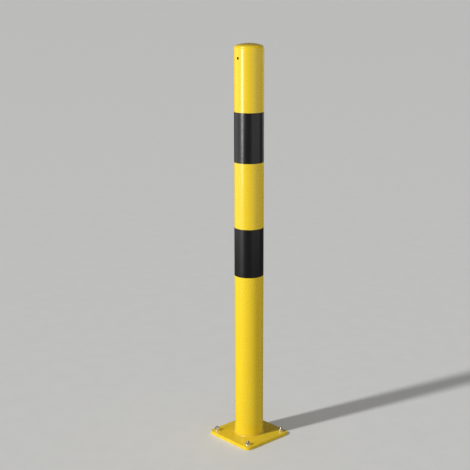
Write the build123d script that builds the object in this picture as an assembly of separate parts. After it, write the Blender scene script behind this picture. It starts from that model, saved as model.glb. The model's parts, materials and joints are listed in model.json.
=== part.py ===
from build123d import *

import os
from math import atan2, cos, degrees, radians, sqrt, tan

# A bolt-down steel safety bollard: a round post with a dished cap, welded to a square
# base plate, which four expansion anchors hold to the floor. Two bands of black film
# are wrapped round the yellow post.
#
# Millimetres. +Z is up. The origin is the middle of the plate's underside, at floor
# level. -Y is the front, the side that the vent hole faces.

# Post
post_diameter = 88.9
post_wall = 3.0
post_length = 1200.0
vent_diameter = 7.5
vent_below_tube_top = 23.0

# Cap: a straight flange, a knuckle and a shallow crown
cap_wall = 3.0
cap_flange = 3.5
cap_knuckle_radius = 11.0
cap_crown_radius = 120.0

# Welds
cap_weld_width = 4.0
cap_weld_root = 0.8  # metal left between the bottom of the groove and the bore
base_weld_leg = 3.0
base_weld_bulge = 0.3

# Bands of film, counted from the top of the crown down
first_band_below_crown = 200.0
band_height = 150.0
yellow_between_bands = 200.0
film_thickness = 0.2
film_overlap = 12.0

# Base plate
plate_side = 180.0
plate_thickness = 10.0
plate_corner_radius = 15.0
plate_edge_break = 0.8
anchor_edge_distance = 18.0
anchor_hole_clearance = 1.5

# M8 anchors, from floor level up
anchor_diameter = 8.0
thread_pitch_diameter = 7.188
shank_above_floor = 5.0
stud_above_nut = 4.0
stud_tip_chamfer = 1.0
thread_clearance = 0.05

washer_diameter = 16.0
washer_hole_clearance = 0.2
washer_thickness = 1.6

lock_washer_diameter = 14.8
lock_washer_hole_clearance = 0.1
lock_washer_thickness = 2.0
lock_washer_slit = 1.4
lock_washer_slit_angle = 20.0

nut_across_flats = 13.0
nut_height = 6.8
nut_chamfer_angle = 30.0
nut_face_share = 0.95
nut_countersink = 0.5

# How far each nut, and the slit of its lock washer, is turned about the anchor
nut_turns = {"front_left": 12.0, "front_right": 41.0, "back_right": 27.0, "back_left": 3.0}
slit_turns = {"front_left": 200.0, "front_right": 75.0, "back_right": 310.0, "back_left": 145.0}

# Worked out from the sizes above
post_radius = post_diameter / 2
tube_bottom = plate_thickness
tube_top = tube_bottom + post_length
cap_weld_root_radius = post_radius - min(post_wall, cap_wall) + cap_weld_root
anchor_spacing = plate_side - 2 * anchor_edge_distance
corners = {
    "front_left": (-anchor_spacing / 2, -anchor_spacing / 2),
    "front_right": (anchor_spacing / 2, -anchor_spacing / 2),
    "back_right": (anchor_spacing / 2, anchor_spacing / 2),
    "back_left": (-anchor_spacing / 2, anchor_spacing / 2),
}
washer_bottom = plate_thickness
lock_washer_bottom = washer_bottom + washer_thickness
nut_bottom = lock_washer_bottom + lock_washer_thickness
nut_top = nut_bottom + nut_height


def turned(points):
    """A solid of revolution about Z, from a closed outline of (radius, height) points."""
    return revolve(Plane.XZ * make_face(Polyline(points, close=True)), Axis.Z)


def dished_height(outer_radius, knuckle_radius, crown_radius):
    """How far a dished head rises above the line where its knuckle starts."""
    return crown_radius - sqrt((crown_radius - knuckle_radius) ** 2 - (outer_radius - knuckle_radius) ** 2)


def dished_solid(outer_radius, knuckle_radius, crown_radius, bottom, knuckle_start):
    """A solid plug under a dished head: straight side, knuckle arc, then crown arc to the axis."""
    top = knuckle_start + dished_height(outer_radius, knuckle_radius, crown_radius)
    crown_centre = (0, top - crown_radius)
    knuckle_centre = (outer_radius - knuckle_radius, knuckle_start)
    tangent_angle = degrees(atan2(knuckle_centre[1] - crown_centre[1], knuckle_centre[0]))
    knuckle = CenterArc(knuckle_centre, knuckle_radius, 0, tangent_angle)
    crown = CenterArc(crown_centre, crown_radius, tangent_angle, 90 - tangent_angle)
    axis_side = Line((0, top), (0, bottom))
    base_side = Line((0, bottom), (outer_radius, bottom))
    straight_side = Line((outer_radius, bottom), (outer_radius, knuckle_start))
    outline = Wire([base_side, straight_side, knuckle, crown, axis_side])
    return revolve(Plane.XZ * make_face(outline), Axis.Z)


cap_knuckle_start = tube_top + cap_flange
crown_top = cap_knuckle_start + dished_height(post_radius, cap_knuckle_radius, cap_crown_radius)


def make_base_plate():
    outline = RectangleRounded(plate_side, plate_side, plate_corner_radius)
    plate = extrude(outline, plate_thickness)
    top_edges = plate.edges().group_by(Axis.Z)[-1]
    plate = chamfer(top_edges, plate_edge_break)
    hole_radius = anchor_diameter / 2 + anchor_hole_clearance
    hole = Cylinder(hole_radius, plate_thickness, align=(Align.CENTER, Align.CENTER, Align.MIN))
    for x, y in corners.values():
        plate -= Pos(x, y, 0) * hole
    return plate


def make_post_tube():
    # The top edge is bevelled for half of the cap's weld.
    inner_radius = post_radius - post_wall
    tube = turned([
        (inner_radius, tube_bottom),
        (post_radius, tube_bottom),
        (post_radius, tube_top - cap_weld_width / 2),
        (cap_weld_root_radius, tube_top),
        (inner_radius, tube_top),
    ])
    vent_height = tube_top - vent_below_tube_top
    drill = Cylinder(vent_diameter / 2, post_radius, align=(Align.CENTER, Align.CENTER, Align.MIN))
    return tube - Pos(0, 0, vent_height) * Rot(90, 0, 0) * drill


def make_top_cap():
    # The lower edge is bevelled for the other half of the weld.
    shell = dished_solid(post_radius, cap_knuckle_radius, cap_crown_radius, tube_top, cap_knuckle_start)
    shell -= dished_solid(
        post_radius - cap_wall,
        cap_knuckle_radius - cap_wall,
        cap_crown_radius - cap_wall,
        tube_top,
        cap_knuckle_start,
    )
    bevel = turned([
        (cap_weld_root_radius, tube_top),
        (post_radius, tube_top + cap_weld_width / 2),
        (post_radius + cap_wall, tube_top + cap_weld_width / 2),
        (post_radius + cap_wall, tube_top),
    ])
    return shell - bevel


def make_cap_weld():
    # A V-shaped ring between the two bevels, ground flush with the post.
    return turned([
        (post_radius, tube_top - cap_weld_width / 2),
        (post_radius, tube_top + cap_weld_width / 2),
        (cap_weld_root_radius, tube_top),
    ])


def make_base_weld():
    # A slightly convex fillet all round the foot of the post.
    foot = (post_radius + base_weld_leg, tube_bottom)
    root = (post_radius, tube_bottom)
    toe = (post_radius, tube_bottom + base_weld_leg)
    half_diagonal = base_weld_bulge * cos(radians(45))
    middle = (
        post_radius + base_weld_leg / 2 + half_diagonal,
        tube_bottom + base_weld_leg / 2 + half_diagonal,
    )
    outline = Wire([Line(toe, root), Line(root, foot), ThreePointArc(foot, middle, toe)])
    return revolve(Plane.XZ * make_face(outline), Axis.Z)


def make_band(index):
    # A sleeve of film, and at the back its end laid over its start.
    top = crown_top - first_band_below_crown - index * (band_height + yellow_between_bands)
    bottom = top - band_height
    outer_radius = post_radius + film_thickness
    sleeve = turned([
        (post_radius, bottom),
        (outer_radius, bottom),
        (outer_radius, top),
        (post_radius, top),
    ])
    lap_angle = degrees(film_overlap / outer_radius)
    lap_radius = outer_radius + film_thickness
    lap_face = Plane.XZ * Pos((outer_radius + lap_radius) / 2, (bottom + top) / 2) * Rectangle(
        film_thickness, band_height)
    lap = revolve(lap_face, Axis.Z, lap_angle)
    return sleeve + Rot(0, 0, 90 - lap_angle / 2) * lap


def make_anchor_stud():
    # The shank passes the plate, and the thread is a plain rod of its pitch diameter.
    thread_radius = thread_pitch_diameter / 2
    top = nut_top + stud_above_nut
    return turned([
        (0, 0),
        (anchor_diameter / 2, 0),
        (anchor_diameter / 2, shank_above_floor),
        (thread_radius, shank_above_floor),
        (thread_radius, top - stud_tip_chamfer),
        (thread_radius - stud_tip_chamfer, top),
        (0, top),
    ])


def make_washer():
    hole_radius = anchor_diameter / 2 + washer_hole_clearance
    return turned([
        (hole_radius, washer_bottom),
        (washer_diameter / 2, washer_bottom),
        (washer_diameter / 2, lock_washer_bottom),
        (hole_radius, lock_washer_bottom),
    ])


def make_lock_washer():
    # A split ring, pressed flat, with its slit cut on the slant.
    hole_radius = anchor_diameter / 2 + lock_washer_hole_clearance
    ring = turned([
        (hole_radius, lock_washer_bottom),
        (lock_washer_diameter / 2, lock_washer_bottom),
        (lock_washer_diameter / 2, nut_bottom),
        (hole_radius, nut_bottom),
    ])
    middle_height = (lock_washer_bottom + nut_bottom) / 2
    cutter = Box(lock_washer_diameter, lock_washer_slit, 2 * lock_washer_diameter)
    cutter = Rot(lock_washer_slit_angle, 0, 0) * cutter
    return ring - Pos(lock_washer_diameter / 2, 0, middle_height) * cutter


def make_nut():
    # A hexagon whose corners are chamfered above and below, with a countersunk hole.
    corner_radius = nut_across_flats / 2 / cos(radians(30))
    face_radius = nut_face_share * nut_across_flats / 2
    chamfer_height = (corner_radius - face_radius) * tan(radians(nut_chamfer_angle))
    hole_radius = thread_pitch_diameter / 2 + thread_clearance
    mouth_radius = hole_radius + nut_countersink
    hexagon = extrude(RegularPolygon(nut_across_flats / 2, 6, major_radius=False), nut_height)
    body = Pos(0, 0, nut_bottom) * hexagon
    body &= turned([
        (0, nut_bottom),
        (face_radius, nut_bottom),
        (corner_radius, nut_bottom + chamfer_height),
        (corner_radius, nut_top - chamfer_height),
        (face_radius, nut_top),
        (0, nut_top),
    ])
    return body - turned([
        (0, nut_bottom),
        (mouth_radius, nut_bottom),
        (hole_radius, nut_bottom + nut_countersink),
        (hole_radius, nut_top - nut_countersink),
        (mouth_radius, nut_top),
        (0, nut_top),
    ])


def write_part(name, shape):
    export_step(shape, f"parts/{name}.step")


os.makedirs("parts", exist_ok=True)
write_part("base_plate", make_base_plate())
write_part("post_tube", make_post_tube())
write_part("top_cap", make_top_cap())
write_part("cap_weld", make_cap_weld())
write_part("base_weld", make_base_weld())
write_part("upper_black_band", make_band(0))
write_part("lower_black_band", make_band(1))
for corner, (x, y) in corners.items():
    place = Pos(x, y, 0)
    write_part(f"anchor_stud_{corner}", place * make_anchor_stud())
    write_part(f"flat_washer_{corner}", place * make_washer())
    write_part(f"lock_washer_{corner}", place * Rot(0, 0, slit_turns[corner]) * make_lock_washer())
    write_part(f"hex_nut_{corner}", place * Rot(0, 0, nut_turns[corner]) * make_nut())
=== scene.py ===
import json
from math import atan2, cos, hypot, pi, radians, sin, sqrt, tan, tau

import bmesh
import bpy
from mathutils import Matrix, Vector

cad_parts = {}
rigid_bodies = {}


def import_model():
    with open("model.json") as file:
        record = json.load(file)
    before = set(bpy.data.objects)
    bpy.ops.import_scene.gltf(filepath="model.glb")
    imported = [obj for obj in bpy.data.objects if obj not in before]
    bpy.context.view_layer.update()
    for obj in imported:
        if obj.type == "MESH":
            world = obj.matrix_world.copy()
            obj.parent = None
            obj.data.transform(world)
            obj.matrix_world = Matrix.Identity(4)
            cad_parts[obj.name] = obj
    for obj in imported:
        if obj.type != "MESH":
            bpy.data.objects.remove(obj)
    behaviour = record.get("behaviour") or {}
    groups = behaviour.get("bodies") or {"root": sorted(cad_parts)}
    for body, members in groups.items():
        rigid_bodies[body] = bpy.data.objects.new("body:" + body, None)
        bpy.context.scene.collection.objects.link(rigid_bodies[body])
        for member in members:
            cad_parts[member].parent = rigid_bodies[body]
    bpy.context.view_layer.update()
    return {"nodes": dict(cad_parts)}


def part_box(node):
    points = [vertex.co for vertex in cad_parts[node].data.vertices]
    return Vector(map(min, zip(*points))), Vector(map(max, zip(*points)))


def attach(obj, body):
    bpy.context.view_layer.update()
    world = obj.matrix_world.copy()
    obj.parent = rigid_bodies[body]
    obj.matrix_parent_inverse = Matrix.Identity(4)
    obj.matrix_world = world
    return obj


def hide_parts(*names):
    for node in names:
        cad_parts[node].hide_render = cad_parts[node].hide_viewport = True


for leftover in list(bpy.data.objects):
    bpy.data.objects.remove(leftover)
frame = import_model()
print("frame loaded:", len(frame["nodes"]), "steel and film pieces")

millimetre = 0.001
mergeDistance = 1e-7  # points nearer than this become one
levelSlack = 1e-6  # a point this near a level counts as lying on it
cornerNames = ["front_left", "front_right", "back_right", "back_left"]
tubeLow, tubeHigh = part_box("post_tube")
postRadius = tubeHigh.x
vent = {"radius": 3.75 * millimetre, "height": tubeHigh.z - 23 * millimetre}


class Link:
    # a shader socket that adds Math nodes when it stands in an expression
    def __init__(self, owner, socket):
        self.owner = owner
        self.socket = socket

    def math(self, operation, first, second):
        return self.owner.node("ShaderNodeMath", {"operation": operation}, {0: first, 1: second})

    def __add__(self, other):
        return self.math("ADD", self, other)

    def __radd__(self, other):
        return self.math("ADD", other, self)

    def __sub__(self, other):
        return self.math("SUBTRACT", self, other)

    def __rsub__(self, other):
        return self.math("SUBTRACT", other, self)

    def __mul__(self, other):
        return self.math("MULTIPLY", self, other)

    def __rmul__(self, other):
        return self.math("MULTIPLY", other, self)


class NodeTree:
    # adds nodes to a material's or a world's tree
    def __init__(self, tree):
        self.tree = tree

    def node(self, kind, settings=None, sockets=None, out=0):
        made = self.tree.nodes.new(kind)
        for key, value in (settings or {}).items():
            setattr(made, key, value)
        for key, value in (sockets or {}).items():
            self.feed(made.inputs[key], value)
        return Link(self, made.outputs[out])

    def feed(self, socket, value):
        if isinstance(value, Link):
            self.tree.links.new(value.socket, socket)
        else:
            socket.default_value = value

    def fade(self, value, start, end):
        # 0 at start, 1 at end, eased between them
        sockets = {"Value": value, "From Min": start, "From Max": end}
        return self.node("ShaderNodeMapRange", {"interpolation_type": "SMOOTHSTEP"}, sockets)


class Finish(NodeTree):
    # one surface finish: a Principled shader and the nodes that feed it
    def __init__(self, name, **constants):
        self.material = bpy.data.materials.new(name)
        self.material.use_nodes = True
        super().__init__(self.material.node_tree)
        self.shader = self.tree.nodes["Principled BSDF"]
        for socketName, value in constants.items():
            self.shader.inputs[socketName.replace("_", " ")].default_value = value
        self.place = self.node("ShaderNodeTexCoord", out="Object")

    def noise(self, scale, detail=2.0, roughness=0.5, stretch=(1, 1, 1), shift=(0, 0, 0)):
        spread = {"Vector": self.place, "Scale": stretch, "Location": shift}
        where = self.node("ShaderNodeMapping", None, spread)
        sockets = {"Vector": where, "Scale": scale, "Detail": detail, "Roughness": roughness}
        return self.node("ShaderNodeTexNoise", None, sockets)

    def cells(self, scale):
        return self.node("ShaderNodeTexVoronoi", None, {"Vector": self.place, "Scale": scale})

    def mixColour(self, share, first, second):
        # sockets 6 and 7 are the Mix node's two colours
        sockets = {0: share, 6: first, 7: second}
        return self.node("ShaderNodeMix", {"data_type": "RGBA"}, sockets, out=2)

    def height(self):
        return self.node("ShaderNodeSeparateXYZ", None, {"Vector": self.place}, out="Z")

    def fromAxis(self):
        # distance from the post's axis
        level = {0: self.place, 1: (1, 1, 0)}
        flat = self.node("ShaderNodeVectorMath", {"operation": "MULTIPLY"}, level)
        return self.node("ShaderNodeVectorMath", {"operation": "LENGTH"}, {0: flat}, out="Value")

    def fromPoint(self, point):
        gap = self.node("ShaderNodeVectorMath", {"operation": "SUBTRACT"}, {0: self.place, 1: point})
        return self.node("ShaderNodeVectorMath", {"operation": "LENGTH"}, {0: gap}, out="Value")

    def facingUp(self):
        normal = self.node("ShaderNodeNewGeometry", out="Normal")
        return self.node("ShaderNodeSeparateXYZ", None, {"Vector": normal}, out="Z")

    def bump(self, relief, distance, below=None):
        sockets = {"Height": relief, "Distance": distance, "Strength": 1.0}
        if below is not None:
            sockets["Normal"] = below
        return self.node("ShaderNodeBump", None, sockets, out="Normal")

    def shade(self, **links):
        for socketName, value in links.items():
            self.feed(self.shader.inputs[socketName.replace("_", " ")], value)
        return self.material


yellowCoat = {
    "colour": (0.800, 0.562, 0.015, 1),
    "deepColour": (0.775, 0.535, 0.013, 1),
    "toneRange": (0.40, 0.66),
    "dustColour": (0.62, 0.56, 0.42, 1),
    "dustPatches": (0.46, 0.74),
    "dustOnTop": 0.05,
    "dustLowDown": 0.04,
    "dustHeight": 100 * millimetre,
    # colour of the painted shade in the corner at the post's foot, and of the real scuffs
    "shadeAndScuffColour": (0.20, 0.14, 0.03, 1),
    "shadeGrimePatches": (0.42, 0.70),
    "cornerShadeHeights": (19 * millimetre, 11 * millimetre),
    "cornerShadeReach": (8 * millimetre, 4 * millimetre),
    "scuffShare": 0.22,
    "scuffPatches": (0.68, 0.76),
    "scuffHighEnd": (620 * millimetre, 400 * millimetre),
    "scuffLowEnd": (50 * millimetre, 160 * millimetre),
    # a painted dark reflection on the crown of the cap, with some dust
    "crownReflectionDustColour": (0.23, 0.195, 0.15, 1),
    "crownReflectionShare": 0.70,
    "crownDrops": (6.5 * millimetre, 4 * millimetre),
    # near-black inside the tube and round the vent: bare steel, and painted shade in the hole
    "bareSteelShadeColour": (0.018, 0.014, 0.012, 1),
    "coatedWall": 0.3 * millimetre,
    "coatEdge": 0.1 * millimetre,
    "ventShadeWidth": 0.6 * millimetre,
    "ventShadeFade": 0.4 * millimetre,
    "roughness": 0.25,
    "peelSize": 2.2 * millimetre,
    "peelDepth": 0.011 * millimetre,
    "drawnWaveDepth": 0.05 * millimetre,
}


def makeYellowPaint():
    look = yellowCoat
    finish = Finish("yellowPaint", Specular_IOR_Level=0.5)
    height = finish.height()
    up = finish.fade(finish.facingUp(), 0.55, 0.95)

    # slow drift of colour, and a finer mottle in the thickness of the coat
    drift = finish.noise(7.0, detail=3.0, stretch=(1, 1, 0.35))
    mottle = finish.noise(160.0, detail=2.0)
    tone = finish.fade(drift * 0.8 + mottle * 0.2, *look["toneRange"])
    colour = finish.mixColour(tone, look["colour"], look["deepColour"])

    # a little dust on the plate and low on the post
    dustNoise = finish.noise(38.0, detail=6.0, roughness=0.62)
    dustPatches = finish.fade(dustNoise, *look["dustPatches"])
    lowDown = finish.fade(height, look["dustHeight"], 0.0)
    dust = dustPatches * up * look["dustOnTop"] + dustPatches * lowDown * look["dustLowDown"]
    colour = finish.mixColour(dust, colour, look["dustColour"])

    # painted shade in the corner between post and plate, broken up by patches of grime
    shadeGrimeNoise = finish.noise(90.0, detail=5.0, shift=(0.3, 0, 0))
    shadeGrimePatches = finish.fade(shadeGrimeNoise, *look["shadeGrimePatches"])
    farReach, nearReach = look["cornerShadeReach"]
    nearPost = finish.fade(finish.fromAxis(), postRadius + farReach, postRadius + nearReach)
    corner = finish.fade(height, *look["cornerShadeHeights"]) * (1 - up) * nearPost

    # short scuffs at the height of trolleys
    scuffBand = finish.fade(height, *look["scuffHighEnd"]) * finish.fade(height, *look["scuffLowEnd"])
    scuffNoise = finish.noise(55.0, detail=4.0, roughness=0.7, stretch=(1, 1, 9))
    scuffs = finish.fade(scuffNoise, *look["scuffPatches"])
    # one darkening mix: painted shade in the corner at the foot, and real scuffs higher up
    shadeAndScuffs = corner * (0.22 + shadeGrimePatches * 0.30) + scuffs * scuffBand * look["scuffShare"]
    colour = finish.mixColour(shadeAndScuffs, colour, look["shadeAndScuffColour"])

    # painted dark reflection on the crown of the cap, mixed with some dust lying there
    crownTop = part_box("top_cap")[1].z
    lowDrop, highDrop = look["crownDrops"]
    crown = finish.fade(height, crownTop - lowDrop, crownTop - highDrop)
    crownReflectionDust = crown * (0.6 + dustPatches * 0.4) * look["crownReflectionShare"]
    colour = finish.mixColour(crownReflectionDust, colour, look["crownReflectionDustColour"])

    # the coat doesn't reach the inside of the closed tube, seen through the vent hole; its bare steel
    # is painted near-black, painted shade in the hole
    bareShadeRadius = postRadius - look["coatedWall"]
    bareAndShade = finish.fade(finish.fromAxis(), bareShadeRadius, bareShadeRadius - look["coatEdge"])
    bareAndShade = bareAndShade * finish.fade(height, tubeLow.z, tubeLow.z + 0.5 * millimetre)
    bareAndShade = bareAndShade * finish.fade(height, tubeHigh.z + millimetre, tubeHigh.z)

    # a dark lip round the vent hole: painted shade that widens the dark of the hole
    fromVent = finish.fromPoint((0, -postRadius, vent["height"]))
    lipEdge = vent["radius"] + look["ventShadeWidth"]
    ventLipShade = finish.fade(fromVent, lipEdge, lipEdge - look["ventShadeFade"])
    bareAndShade = bareAndShade.math("MAXIMUM", bareAndShade, ventLipShade)
    colour = finish.mixColour(bareAndShade, colour, look["bareSteelShadeColour"])

    # orange peel on the coat, and the faint lengthwise waves of drawn tube under it
    peel = finish.noise(1 / look["peelSize"], detail=1.5, roughness=0.4)
    waves = finish.noise(34.0, detail=1.0, stretch=(1, 1, 0.05), shift=(0, 0.4, 0))
    waveNormal = finish.bump(waves, look["drawnWaveDepth"])
    normal = finish.bump(peel, look["peelDepth"], waveNormal)

    roughness = look["roughness"] + mottle * 0.05 + dust * 1.2 + shadeAndScuffs * 0.5 + bareAndShade * 0.4
    return finish.shade(Base_Color=colour, Roughness=roughness, Normal=normal)


blackFilm = {
    "colour": (0.0055, 0.0055, 0.006, 1),
    "wornColour": (0.016, 0.016, 0.0165, 1),
    "roughness": 0.25,
    "grainSize": 0.45 * millimetre,
    "grainDepth": 0.004 * millimetre,
    "tensionDepth": 0.10 * millimetre,
    "cloudRange": (0.48, 0.78),
    "scratchRange": (0.66, 0.75),
}


def makeBlackFilm():
    look = blackFilm
    finish = Finish("blackFilm", Specular_IOR_Level=0.5)
    clouds = finish.noise(24.0, detail=5.0, roughness=0.6, stretch=(1, 1, 0.5))
    scratchNoise = finish.noise(70.0, detail=5.0, roughness=0.75, stretch=(1, 1, 14))
    scratches = finish.fade(scratchNoise, *look["scratchRange"])
    worn = finish.fade(clouds, *look["cloudRange"]) * 0.55 + scratches * 0.5
    colour = finish.mixColour(worn, look["colour"], look["wornColour"])
    # a fine grain, on the slow swell of film that was stretched by hand
    grain = finish.noise(1 / look["grainSize"], detail=2.0)
    tension = finish.noise(16.0, detail=1.0, stretch=(1, 1, 0.3), shift=(0, 0, 0.7))
    swell = finish.bump(tension, look["tensionDepth"])
    normal = finish.bump(grain, look["grainDepth"], swell)
    roughness = look["roughness"] + clouds * 0.10 + scratches * 0.15
    return finish.shade(Base_Color=colour, Roughness=roughness, Normal=normal)


zincPlate = {
    "colour": (0.82, 0.82, 0.81, 1),
    "passivated": (0.74, 0.70, 0.58, 1),
    "stain": (0.16, 0.13, 0.10, 1),
    "roughness": 0.20,
    "blushRange": (0.42, 0.66),
    "spotRange": (0.62, 0.74),
    "scratchDepth": 0.010 * millimetre,
}


def makeZincPlate():
    look = zincPlate
    finish = Finish("zincPlate", Metallic=1.0)
    spangle = finish.cells(420.0)
    blush = finish.fade(finish.noise(130.0, detail=4.0), *look["blushRange"])
    colour = finish.mixColour(blush * 0.7, look["colour"], look["passivated"])
    spotNoise = finish.noise(520.0, detail=4.0, roughness=0.7)
    spots = finish.fade(spotNoise, *look["spotRange"])
    colour = finish.mixColour(spots * 0.45, colour, look["stain"])
    scratches = finish.noise(900.0, detail=3.0, stretch=(1, 1, 0.25))
    normal = finish.bump(scratches, look["scratchDepth"])
    roughness = look["roughness"] + spangle * 0.10 + blush * 0.08 + spots * 0.25
    return finish.shade(Base_Color=colour, Roughness=roughness, Normal=normal)


paint = makeYellowPaint()
film = makeBlackFilm()
zinc = makeZincPlate()
print("finishes made")


smoothAngle = 32  # edges that turn more than this many degrees are shown sharp
drillSides = 48


def ringOf(shape, outline, steps, turn=tau, axisX=0.0, axisY=0.0):
    # spins a closed outline of (radius, height) points about an upright axis; an edge that
    # lies on the axis is left out, because it would stay behind as a loose wire
    points = [shape.verts.new((axisX + radius, axisY, height)) for radius, height in outline]
    edges = [shape.edges.new((points[i - 1], points[i])) for i in range(len(points))
             if outline[i - 1][0] > 0 or outline[i][0] > 0]
    whole = turn >= tau
    if not whole:
        shape.faces.new(points)
    made = bmesh.ops.spin(
        shape, geom=points + edges, cent=(axisX, axisY, 0), axis=(0, 0, 1), angle=turn,
        steps=steps, use_merge=whole)
    if not whole:
        endEdges = [part for part in made["geom_last"] if isinstance(part, bmesh.types.BMEdge)]
        bmesh.ops.contextual_create(shape, geom=endEdges)


def closeUp(shape):
    bmesh.ops.remove_doubles(shape, verts=shape.verts, dist=mergeDistance)
    bmesh.ops.recalc_face_normals(shape, faces=shape.faces)


def rounded(corners, radius, segments=3):
    # replaces each corner of a closed (radius, height) outline by a small arc
    outline = []
    count = len(corners)
    for i in range(count):
        here = Vector(corners[i])
        before = (Vector(corners[i - 1]) - here).normalized()
        after = (Vector(corners[(i + 1) % count]) - here).normalized()
        half = before.angle(after) / 2
        centre = here + (before + after).normalized() * radius / sin(half)
        start = here + before * radius / tan(half) - centre
        end = here + after * radius / tan(half) - centre
        sweep = start.angle_signed(end)
        for step in range(segments + 1):
            outline.append(tuple(centre + Matrix.Rotation(-sweep * step / segments, 2) @ start))
    return outline


def newPiece(name, shape, finish, slotName, *nodes):
    mesh = bpy.data.meshes.new(name)
    shape.to_mesh(mesh)
    shape.free()
    mesh.materials.append(finish)
    mesh.shade_smooth()
    mesh.set_sharp_from_angle(angle=radians(smoothAngle))
    piece = bpy.data.objects.new(name, mesh)
    bpy.context.scene.collection.objects.link(piece)
    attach(piece, "root")
    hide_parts(*nodes)
    return piece


def drilled(shape, holes):
    # the shape with round holes cut through it; each hole is (radius, depth, matrix)
    cutterShape = bmesh.new()
    for radius, depth, place in holes:
        bmesh.ops.create_cone(
            cutterShape, cap_ends=True, segments=drillSides, radius1=radius, radius2=radius,
            depth=depth, matrix=place)
    bodies = []
    for name, part in (("drilledBody", shape), ("drilledHoles", cutterShape)):
        mesh = bpy.data.meshes.new(name)
        part.to_mesh(mesh)
        part.free()
        body = bpy.data.objects.new(name, mesh)
        bpy.context.scene.collection.objects.link(body)
        bodies.append(body)
    body, cutter = bodies
    cut = body.modifiers.new("cut", "BOOLEAN")
    cut.operation = "DIFFERENCE"
    cut.solver = "EXACT"
    cut.object = cutter
    result = bmesh.new()
    result.from_object(body, bpy.context.evaluated_depsgraph_get())
    bpy.data.objects.remove(body)
    bpy.data.objects.remove(cutter)
    return result


plateLook = {
    "cornerRadius": 15 * millimetre,
    "cornerSteps": 14,
    "topEdge": 1.0 * millimetre,
    "underEdge": 0.4 * millimetre,
    "edgeSteps": 4,
    "holeRadius": 5.5 * millimetre,
}


def makeBasePlate():
    low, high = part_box("base_plate")
    shape = bmesh.new()
    middle = Matrix.Translation((low + high) / 2)
    bmesh.ops.create_cube(shape, size=1.0, matrix=middle @ Matrix.Diagonal((*(high - low), 1)))
    upright = [edge for edge in shape.edges
               if abs(edge.verts[0].co.z - edge.verts[1].co.z) > millimetre]
    bmesh.ops.bevel(shape, geom=upright, offset=plateLook["cornerRadius"],
                    segments=plateLook["cornerSteps"], profile=0.5, affect="EDGES", material=-1)
    for level, width in ((high.z, plateLook["topEdge"]), (low.z, plateLook["underEdge"])):
        rim = [edge for edge in shape.edges
               if all(abs(vert.co.z - level) < levelSlack for vert in edge.verts)]
        bmesh.ops.bevel(shape, geom=rim, offset=width, segments=plateLook["edgeSteps"], profile=0.5,
                        affect="EDGES", material=-1)
    holes = []  # each drill passes well through the plate
    for corner in cornerNames:
        studLow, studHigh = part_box(f"anchor_stud_{corner}")
        centre = (studLow + studHigh) / 2
        place = Matrix.Translation((centre.x, centre.y, (low.z + high.z) / 2))
        holes.append((plateLook["holeRadius"], 3 * (high.z - low.z), place))
    shape = drilled(shape, holes)
    return newPiece("painted_base_plate", shape, paint, "yellow_paint", "base_plate")


makeBasePlate()
print("base plate made")


postLook = {
    "wall": 3 * millimetre,
    "bevelDrop": 2 * millimetre,
    "bevelRoot": 0.8 * millimetre,
    "steps": 192,
}


def makePost():
    inner = postRadius - postLook["wall"]
    shape = bmesh.new()
    outline = [
        (inner, tubeLow.z),
        (postRadius, tubeLow.z),
        (postRadius, tubeHigh.z - postLook["bevelDrop"]),
        (inner + postLook["bevelRoot"], tubeHigh.z),
        (inner, tubeHigh.z),
    ]
    ringOf(shape, outline, postLook["steps"])
    closeUp(shape)
    ventPlace = Matrix.Translation((0, -postRadius, vent["height"]))
    ventPlace = ventPlace @ Matrix.Rotation(pi / 2, 4, "X")
    shape = drilled(shape, [(vent["radius"], postRadius / 2, ventPlace)])
    return newPiece("painted_post", shape, paint, "yellow_paint", "post_tube")


makePost()
for name in ("top_cap", "cap_weld"):
    frame["nodes"][name].material_slots[0].material = paint
print("post made")


weldLook = {
    "leg": 3 * millimetre,
    "bulge": 0.3 * millimetre,
    "rippleLength": 2.6 * millimetre,
    "rippleDepth": 0.06 * millimetre,
    "rippleBow": 0.9 * millimetre,
    "wander": 0.0525 * millimetre,
    "heldRim": 0.01 * millimetre,
    "steps": 720,
    "arcSteps": 10,
}


def makeBaseWeld():
    leg = weldLook["leg"]
    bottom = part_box("base_weld")[0].z
    shape = bmesh.new()
    outline = [(postRadius, bottom)]
    for step in range(weldLook["arcSteps"] + 1):
        share = step / weldLook["arcSteps"]
        swell = weldLook["bulge"] * sin(pi * share) * sqrt(0.5)
        outline.append((postRadius + leg * (1 - share) + swell, bottom + leg * share + swell))
    ringOf(shape, outline, weldLook["steps"])
    closeUp(shape)
    # crescent ripples left by each run of the torch, strongest in the middle of the bead
    for vert in shape.verts:
        radius = hypot(vert.co.x, vert.co.y)
        around = atan2(vert.co.y, vert.co.x)
        lean = atan2(vert.co.z - bottom, radius - postRadius)
        if radius - postRadius < weldLook["heldRim"] or vert.co.z - bottom < weldLook["heldRim"]:
            continue  # these points stay against the post and the plate
        belly = sin(2 * lean)
        travelled = around * postRadius + weldLook["rippleBow"] * belly
        ripple = weldLook["rippleDepth"] * sin(tau * travelled / weldLook["rippleLength"])
        # the bead's width drifts in five slow swells and eleven smaller ones
        wander = weldLook["wander"] * (sin(5 * around + 1) + 0.6 * sin(11 * around + 2.3))
        push = belly * (ripple + wander)
        vert.co.x += cos(around) * cos(lean) * push
        vert.co.y += sin(around) * cos(lean) * push
        vert.co.z += sin(lean) * push
    return newPiece("painted_base_weld", shape, paint, "yellow_paint", "base_weld")


makeBaseWeld()
print("base weld made")


filmLook = {
    "thickness": 0.2 * millimetre,
    "edgeShare": 0.4,
    "lap": 12 * millimetre,
    "steps": 192,
    "lapSteps": 8,
}


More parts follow.
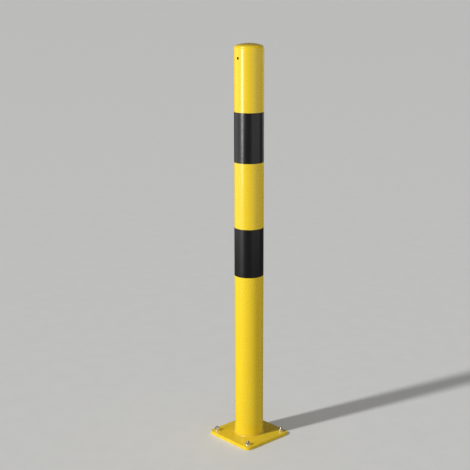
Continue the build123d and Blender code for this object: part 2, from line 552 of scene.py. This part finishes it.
def makeBand(node):
    low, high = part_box(node)
    thickness = filmLook["thickness"]
    shape = bmesh.new()
    inside = postRadius
    outside = inside + thickness
    edge = thickness * filmLook["edgeShare"]
    sleeve = [
        (inside, low.z), (outside - edge, low.z), (outside, low.z + edge),
        (outside, high.z - edge), (outside - edge, high.z), (inside, high.z),
    ]
    ringOf(shape, sleeve, filmLook["steps"])
    # the end of the film, laid over its start at the back of the post
    lapTurn = filmLook["lap"] / outside
    lapShape = bmesh.new()
    lapSide = outside + thickness
    lap = [(outside, low.z), (lapSide, low.z), (lapSide, high.z), (outside, high.z)]
    ringOf(lapShape, lap, filmLook["lapSteps"], lapTurn)
    bmesh.ops.rotate(lapShape, verts=lapShape.verts, cent=(0, 0, 0),
                     matrix=Matrix.Rotation(pi / 2 - lapTurn / 2, 3, "Z"))
    lapMesh = bpy.data.meshes.new("lap")
    lapShape.to_mesh(lapMesh)
    lapShape.free()
    shape.from_mesh(lapMesh)
    bpy.data.meshes.remove(lapMesh)
    closeUp(shape)
    return newPiece(f"{node}_film", shape, film, "black_film", node)


for band in ("upper_black_band", "lower_black_band"):
    makeBand(band)
print("bands made")


studLook = {
    "pitch": 1.25 * millimetre,
    "crestRadius": 3.95 * millimetre,
    "rootRadius": 3.30 * millimetre,
    "rootFlat": (0, 0.25),
    "crestFlat": (0.5625, 0.6875),
    "spareTurns": 2,
    "shankTop": 5 * millimetre,
    "tipChamfer": 1.0 * millimetre,
    "steps": 64,
}


def makeStud(corner):
    node = f"anchor_stud_{corner}"
    low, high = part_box(node)
    axisX = (low.x + high.x) / 2
    axisY = (low.y + high.y) / 2
    shankRadius = (high.x - low.x) / 2
    pitch = studLook["pitch"]
    threadLow = low.z + studLook["shankTop"]
    shape = bmesh.new()

    # one zigzag line up the side, turned once while it climbs by one pitch, makes the thread
    tooth = [(studLook["rootRadius"], share) for share in studLook["rootFlat"]]
    tooth += [(studLook["crestRadius"], share) for share in studLook["crestFlat"]]
    spare = studLook["spareTurns"]
    line = []
    for turn in range(-spare, int((high.z - threadLow) / pitch) + spare):
        foot = threadLow + turn * pitch
        for radius, share in tooth:
            line.append(shape.verts.new((axisX + radius, axisY, foot + share * pitch)))
    edges = [shape.edges.new((line[i - 1], line[i])) for i in range(1, len(line))]
    bmesh.ops.spin(shape, geom=line + edges, cent=(axisX, axisY, 0), axis=(0, 0, 1), angle=tau,
                   dvec=(0, 0, pitch / studLook["steps"]), steps=studLook["steps"], use_merge=False)
    bmesh.ops.remove_doubles(shape, verts=shape.verts, dist=levelSlack)
    for level, side in ((threadLow, -1), (high.z, 1)):
        everything = shape.verts[:] + shape.edges[:] + shape.faces[:]
        bmesh.ops.bisect_plane(shape, geom=everything, dist=mergeDistance / 10,
                               plane_co=(0, 0, level), plane_no=(0, 0, side), clear_outer=True)
        rim = [edge for edge in shape.edges if edge.is_boundary
               and all(abs(vert.co.z - level) < levelSlack for vert in edge.verts)]
        bmesh.ops.contextual_create(shape, geom=rim)

    # the chamfer of the tip cuts the last turns of the thread, and a plain shank stands below
    for vert in shape.verts:
        out = Vector((vert.co.x - axisX, vert.co.y - axisY))
        limit = studLook["crestRadius"] - studLook["tipChamfer"] + (high.z - vert.co.z)
        if out.length > limit:
            out *= limit / out.length
            vert.co.x = axisX + out.x
            vert.co.y = axisY + out.y
    shank = [(0, low.z), (shankRadius, low.z), (shankRadius, threadLow), (0, threadLow)]
    ringOf(shape, shank, studLook["steps"], axisX=axisX, axisY=axisY)
    closeUp(shape)
    return newPiece(f"threaded_stud_{corner}", shape, zinc, "zinc_plated_steel", node)


washerLook = {"holeRadius": 4.2 * millimetre, "edge": 0.3 * millimetre, "steps": 96}


def makeFlatWasher(corner):
    node = f"flat_washer_{corner}"
    low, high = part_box(node)
    outside = (high.x - low.x) / 2
    outline = rounded([
        (washerLook["holeRadius"], low.z),
        (outside, low.z),
        (outside, high.z),
        (washerLook["holeRadius"], high.z),
    ], washerLook["edge"])
    shape = bmesh.new()
    ringOf(shape, outline, washerLook["steps"],
           axisX=(low.x + high.x) / 2, axisY=(low.y + high.y) / 2)
    closeUp(shape)
    return newPiece(f"plated_washer_{corner}", shape, zinc, "zinc_plated_steel", node)


lockLook = {
    "holeRadius": 4.1 * millimetre,
    "edge": 0.3 * millimetre,
    "slit": 1.4 * millimetre,
    "lean": 20,
    "leanReach": 30,
    "steps": 90,
    "slitTurns": {"front_left": 200, "front_right": 75, "back_right": 310, "back_left": 145},
}


def makeLockWasher(corner):
    node = f"lock_washer_{corner}"
    low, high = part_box(node)
    axisX = (low.x + high.x) / 2
    axisY = (low.y + high.y) / 2
    outside = (high.x - low.x) / 2
    inside = lockLook["holeRadius"]
    outline = rounded([(inside, low.z), (outside, low.z), (outside, high.z), (inside, high.z)],
                      lockLook["edge"])
    gap = lockLook["slit"] / outside
    shape = bmesh.new()
    ringOf(shape, outline, lockLook["steps"], tau - gap, axisX, axisY)
    closeUp(shape)
    # the two ends lean the same way, as a slit sheared on the slant does
    middle = (low.z + high.z) / 2
    reach = radians(lockLook["leanReach"])
    for vert in shape.verts:
        around = atan2(vert.co.y - axisY, vert.co.x - axisX) % tau
        fromSlit = min(around, tau - gap - around)
        share = max(0.0, 1 - abs(fromSlit) / reach)
        shift = -(vert.co.z - middle) * tan(radians(lockLook["lean"])) / outside * share
        turned = Matrix.Rotation(shift, 2) @ Vector((vert.co.x - axisX, vert.co.y - axisY))
        vert.co.x = axisX + turned.x
        vert.co.y = axisY + turned.y
    slitTurn = radians(lockLook["slitTurns"][corner]) + gap / 2
    bmesh.ops.rotate(shape, verts=shape.verts, cent=(axisX, axisY, 0),
                     matrix=Matrix.Rotation(slitTurn, 3, "Z"))
    return newPiece(f"split_washer_{corner}", shape, zinc, "zinc_plated_steel", node)


nutLook = {
    "acrossFlats": 13 * millimetre,
    "faceShare": 0.95,
    "chamferAngle": 30,
    "boreRadius": 3.64 * millimetre,
    "countersink": 0.5 * millimetre,
    "cutsPerFlat": 15,
    "edge": 0.18 * millimetre,
    "crispAngle": 20,
    "turns": {"front_left": 12, "front_right": 41, "back_right": 27, "back_left": 3},
}
halfFlat = 30  # degrees from the middle of a hexagon's side to its corner


def makeNut(corner):
    node = f"hex_nut_{corner}"
    low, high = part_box(node)
    axisX = (low.x + high.x) / 2
    axisY = (low.y + high.y) / 2
    cornerRadius = nutLook["acrossFlats"] / 2 / cos(radians(halfFlat))
    faceRadius = nutLook["acrossFlats"] / 2 * nutLook["faceShare"]
    slope = tan(radians(nutLook["chamferAngle"]))
    bore = nutLook["boreRadius"]
    mouth = bore + nutLook["countersink"]
    shape = bmesh.new()
    bmesh.ops.create_circle(shape, radius=cornerRadius, segments=6)
    bmesh.ops.subdivide_edges(shape, edges=shape.edges, cuts=nutLook["cutsPerFlat"])

    # each station is (radius, or None to keep the hexagon, then height, then the chamfer's side)
    stations = [
        (None, high.z, 1), (faceRadius, high.z, 0), (mouth, high.z, 0),
        (bore, high.z - nutLook["countersink"], 0), (bore, low.z + nutLook["countersink"], 0),
        (mouth, low.z, 0), (faceRadius, low.z, 0), (None, low.z, -1), (None, (low.z + high.z) / 2, 0),
    ]
    flatOf = {}
    ring = shape.edges[:]
    for vert in shape.verts:
        vert.co.z = (low.z + high.z) / 2
        flatOf[vert] = vert.co.xy.copy()
    for radius, level, side in stations:
        made = bmesh.ops.extrude_edge_only(shape, edges=ring)["geom"]
        ring = [part for part in made if isinstance(part, bmesh.types.BMEdge)
                and not any(vert in flatOf for vert in part.verts)]
        fresh = {vert for edge in ring for vert in edge.verts}
        nearby = {}
        for vert in fresh:
            partner = next(edge.other_vert(vert) for edge in vert.link_edges
                           if edge.other_vert(vert) in flatOf)
            nearby[vert] = flatOf[partner]
        for vert, outward in nearby.items():
            flatOf[vert] = outward
            drop = (outward.length - faceRadius) * slope if side else 0.0
            place = outward if radius is None else outward.normalized() * radius
            vert.co = (place.x, place.y, level - side * max(drop, 0.0))
    closeUp(shape)
    crisp = [edge for edge in shape.edges if len(edge.link_faces) == 2
             and edge.calc_face_angle(0) > radians(nutLook["crispAngle"])]
    bmesh.ops.bevel(shape, geom=crisp, offset=nutLook["edge"], segments=2, profile=0.5, affect="EDGES",
                    material=-1, clamp_overlap=True)
    turned = Matrix.Rotation(radians(nutLook["turns"][corner] + halfFlat), 4, "Z")
    bmesh.ops.transform(shape, matrix=Matrix.Translation((axisX, axisY, 0)) @ turned, verts=shape.verts)
    closeUp(shape)
    return newPiece(f"plated_nut_{corner}", shape, zinc, "zinc_plated_steel", node)


for corner in cornerNames:
    makeStud(corner)
    makeFlatWasher(corner)
    makeLockWasher(corner)
    makeNut(corner)
print("anchors made")


stageLook = {
    "floorColour": (0.75, 0.75, 0.735, 1),
    "floorPatches": (0.735, 0.735, 0.72, 1),
    "patchRange": (0.35, 0.65),
    "floorRadius": 300.0,
    "airStrength": 0.075,
    "horizonStrength": 0.48,
    "horizonRise": 0.30,
    "horizonFoot": (-0.03, -0.02),
}


def makeFloor():
    shape = bmesh.new()
    bmesh.ops.create_circle(shape, cap_ends=True, segments=96, radius=stageLook["floorRadius"])
    mesh = bpy.data.meshes.new("studioFloor")
    shape.to_mesh(mesh)
    shape.free()
    floor = bpy.data.objects.new("studioFloor", mesh)
    bpy.context.scene.collection.objects.link(floor)
    finish = Finish("paleFloor", Roughness=0.7)
    patchNoise = finish.noise(14.0, detail=5.0, roughness=0.6)
    patches = finish.fade(patchNoise, *stageLook["patchRange"])
    colour = finish.mixColour(patches, stageLook["floorColour"], stageLook["floorPatches"])
    mesh.materials.append(finish.shade(Base_Color=colour))
    floor.visible_glossy = False  # the gloss shows the lamps and the dim air, not the floor
    return floor


def makeAir():
    # dim air above, and as pale as the floor along the horizon
    world = bpy.data.worlds.new("studioAir")
    world.use_nodes = True
    air = NodeTree(world.node_tree)
    direction = air.node("ShaderNodeTexCoord", out="Generated")
    rise = air.node("ShaderNodeSeparateXYZ", None, {"Vector": direction}, out="Z")
    horizon = air.fade(rise, stageLook["horizonRise"], 0.0)
    horizon = horizon * air.fade(rise, *stageLook["horizonFoot"])
    extra = stageLook["horizonStrength"] - stageLook["airStrength"]
    backdrop = world.node_tree.nodes["Background"]
    backdrop.inputs["Color"].default_value = (1, 1, 1, 1)
    air.feed(backdrop.inputs["Strength"], stageLook["airStrength"] + horizon * extra)
    bpy.context.scene.world = world


view = {
    "azimuth": 46.92,
    "distance": 2.959,
    "height": 1.375,
    "pitch": 13.69,
    "sensor": 36.0,
    "lens": 76.6,
    "shiftX": -0.0298,
}


def makeCamera():
    camera = bpy.data.objects.new("camera", bpy.data.cameras.new("camera"))
    bpy.context.scene.collection.objects.link(camera)
    camera.data.sensor_width = view["sensor"]
    camera.data.lens = view["lens"]
    camera.data.shift_x = view["shiftX"]
    camera.data.clip_end = 2 * stageLook["floorRadius"]
    around = radians(view["azimuth"])
    reach = view["distance"]
    camera.location = (reach * sin(around), -reach * cos(around), view["height"])
    camera.rotation_euler = (radians(90 - view["pitch"]), 0, around)
    bpy.context.scene.camera = camera


# azimuth is counted as the camera's is: 0 stands in front of the bollard, 90 to its right
sun = {"azimuth": -12.5, "elevation": 39, "spread": 3.4, "power": 1.98}
floorWash = {"azimuth": 0, "elevation": 90, "spread": 25, "power": 0.75}
sunDistance = 5.0  # a sun shines alike from anywhere, so this only keeps it clear of the post
sunAim = 0.6

panelColumns = ("azimuth", "elevation", "distance", "width", "height", "aim", "power")
panels = {
    "strip": (-6, 0, 3.2, 0.55, 1.2, 1.0, 49),
    "lowFront": (-22, 0, 2.8, 1.8, 0.8, 0.3, 6.6),
    "left": (-55, 0, 2.8, 1.0, 2.0, 1.0, 7.9),
    "farLeft": (-78, 0, 2.8, 1.2, 2.0, 1.0, 5.4),
    "right": (76, 0, 2.8, 1.0, 2.0, 1.0, 4.5),
    "farRight": (98, 0, 2.8, 1.2, 2.0, 1.0, 4.8),
    "backRight": (124, 0, 2.8, 1.3, 2.0, 1.0, 5.5),
    "highRight": (88, 38, 4.0, 2.0, 2.0, 0.7, 10),
    "back": (188, 8, 3.0, 1.5, 2.0, 0.9, 6),
}


def placeLamp(name, data, azimuth, elevation, distance, aim):
    lamp = bpy.data.objects.new(name, data)
    bpy.context.scene.collection.objects.link(lamp)
    around = radians(azimuth)
    rise = radians(elevation)
    outward = Vector((sin(around) * cos(rise), -cos(around) * cos(rise), sin(rise)))
    lamp.location = Vector((0, 0, aim)) + outward * distance
    lamp.rotation_euler = outward.to_track_quat("Z", "Y").to_euler()
    lamp.visible_camera = False
    return lamp


def setFloorLight(lamp, floor, state):
    # state is INCLUDE for a lamp that lights the floor alone, EXCLUDE for one that spares it
    receivers = bpy.data.collections.new(f"{lamp.name}Receivers")
    receivers.objects.link(floor)
    receivers.collection_objects[0].light_linking.link_state = state
    lamp.light_linking.receiver_collection = receivers


def makeSun(name, look):
    data = bpy.data.lights.new(name, "SUN")
    data.angle = radians(look["spread"])
    data.energy = look["power"]
    return placeLamp(name, data, look["azimuth"], look["elevation"], sunDistance, sunAim)


def makePanel(name):
    look = dict(zip(panelColumns, panels[name]))
    data = bpy.data.lights.new(name, "AREA")
    data.shape = "RECTANGLE"
    data.size = look["width"]
    data.size_y = look["height"]
    data.energy = look["power"]
    return placeLamp(
        name, data, look["azimuth"], look["elevation"], look["distance"], look["aim"])


floor = makeFloor()
makeAir()
makeCamera()
makeSun("sun", sun)
setFloorLight(makeSun("floorWash", floorWash), floor, "INCLUDE")
for panelName in panels:
    setFloorLight(makePanel(panelName), floor, "EXCLUDE")
bpy.context.scene.view_settings.view_transform = "Standard"
print("stage, camera and lamps placed")
